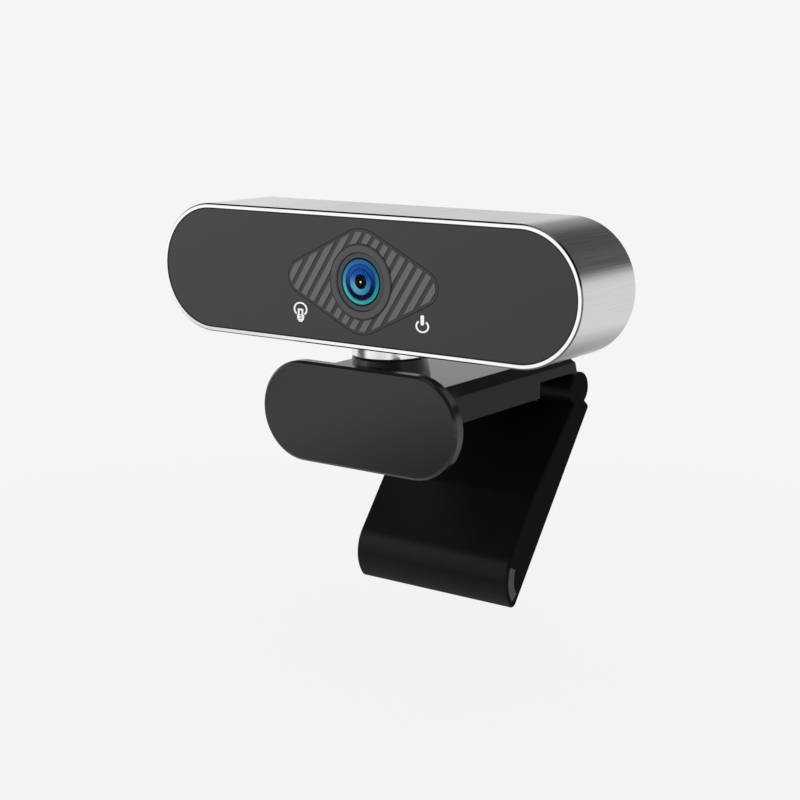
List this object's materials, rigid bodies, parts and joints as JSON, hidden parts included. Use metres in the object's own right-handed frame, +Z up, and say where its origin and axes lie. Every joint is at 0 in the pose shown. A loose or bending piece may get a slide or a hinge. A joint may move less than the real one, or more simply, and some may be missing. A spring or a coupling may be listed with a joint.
{
  "type": "webcam with folding monitor clip",
  "caption": "Wide stadium-shaped webcam head with a centred lens on a swivel neck, carried by a folding clip whose lip and hinged leg grip a monitor's top edge.",
  "frame": {"origin": "on the upright swivel axis, at the rest pad's underside, which sits on the monitor's top edge", "axes": "+X to the right seen from the front, along the head; +Y backwards; +Z up"},
  "size_m": [0.1018, 0.0601, 0.0845],
  "materials": {
    "sleeve_aluminium": "bead-blasted and clear anodised, polished front chamfer",
    "panel_plastic": "satin dark grey ABS",
    "plate_plastic": "dark grey ribbed ABS",
    "ring_plastic": "mid grey painted bezel",
    "lens_black": "matt black lens mouldings",
    "lens_glass": "blue coated optical glass",
    "guide_acrylic": "clear acrylic",
    "board_laminate": "green solder mask",
    "chip_epoxy": "black moulded packages",
    "connector_nylon": "natural nylon",
    "led_resin": "white and amber resin",
    "cover_plastic": "fine textured black ABS",
    "clip_plastic": "black ABS",
    "pad_rubber": "soft dark rubber",
    "disc_chrome": "polished plated steel",
    "fastener_steel": "zinc plated steel",
    "washer_acetal": "natural acetal",
    "insert_brass": "turned brass"
  },
  "bodies": {
    "clip": {"arm_shell": "clip_plastic", "arm_bottom_cover": "clip_plastic", "arm_cover_screws": "fastener_steel", "rest_pad": "pad_rubber", "tripod_insert": "insert_brass", "lip_plate": "clip_plastic", "lip_screws": "fastener_steel", "lip_pad": "pad_rubber", "neck_collar": "clip_plastic", "friction_washer": "washer_acetal", "spring_washer": "fastener_steel"},
    "head": {"body_shell": "sleeve_aluminium", "front_panel": "panel_plastic", "lens_plate": "plate_plastic", "lens_ring": "ring_plastic", "lens_barrel": "lens_black", "lens_front_glass": "lens_glass", "lens_stop": "lens_black", "lens_rear_glass": "lens_glass", "lens_holder": "lens_black", "lens_holder_screws": "fastener_steel", "ir_filter": "lens_glass", "image_sensor": "chip_epoxy", "main_board": "board_laminate", "board_chips": "chip_epoxy", "board_screws": "fastener_steel", "board_connector": "connector_nylon", "indicator_leds": "led_resin", "light_guides": "guide_acrylic", "rear_cover": "cover_plastic", "cover_screws": "fastener_steel", "cable_gland": "pad_rubber", "swivel_disc": "disc_chrome", "swivel_bracket": "fastener_steel", "swivel_bolt": "fastener_steel", "swivel_nut": "fastener_steel"},
    "leg": {"leg_shell": "clip_plastic", "leg_cover": "clip_plastic", "leg_cover_screws": "fastener_steel", "foot_pad": "pad_rubber", "hinge_pin": "fastener_steel", "hinge_washers": "fastener_steel"}
  },
  "joints": [
    {"name": "head_swivel", "type": "hinge", "parent": "clip", "child": "head", "pos_m": [0, 0, 0], "axis": [0, 0, 1], "range_deg": [-180, 180]},
    {"name": "leg_fold", "type": "hinge", "parent": "clip", "child": "leg", "pos_m": [0, 0.0441, -0.0003], "axis": [1, 0, 0], "range_deg": [-45, 128]}
  ]
}
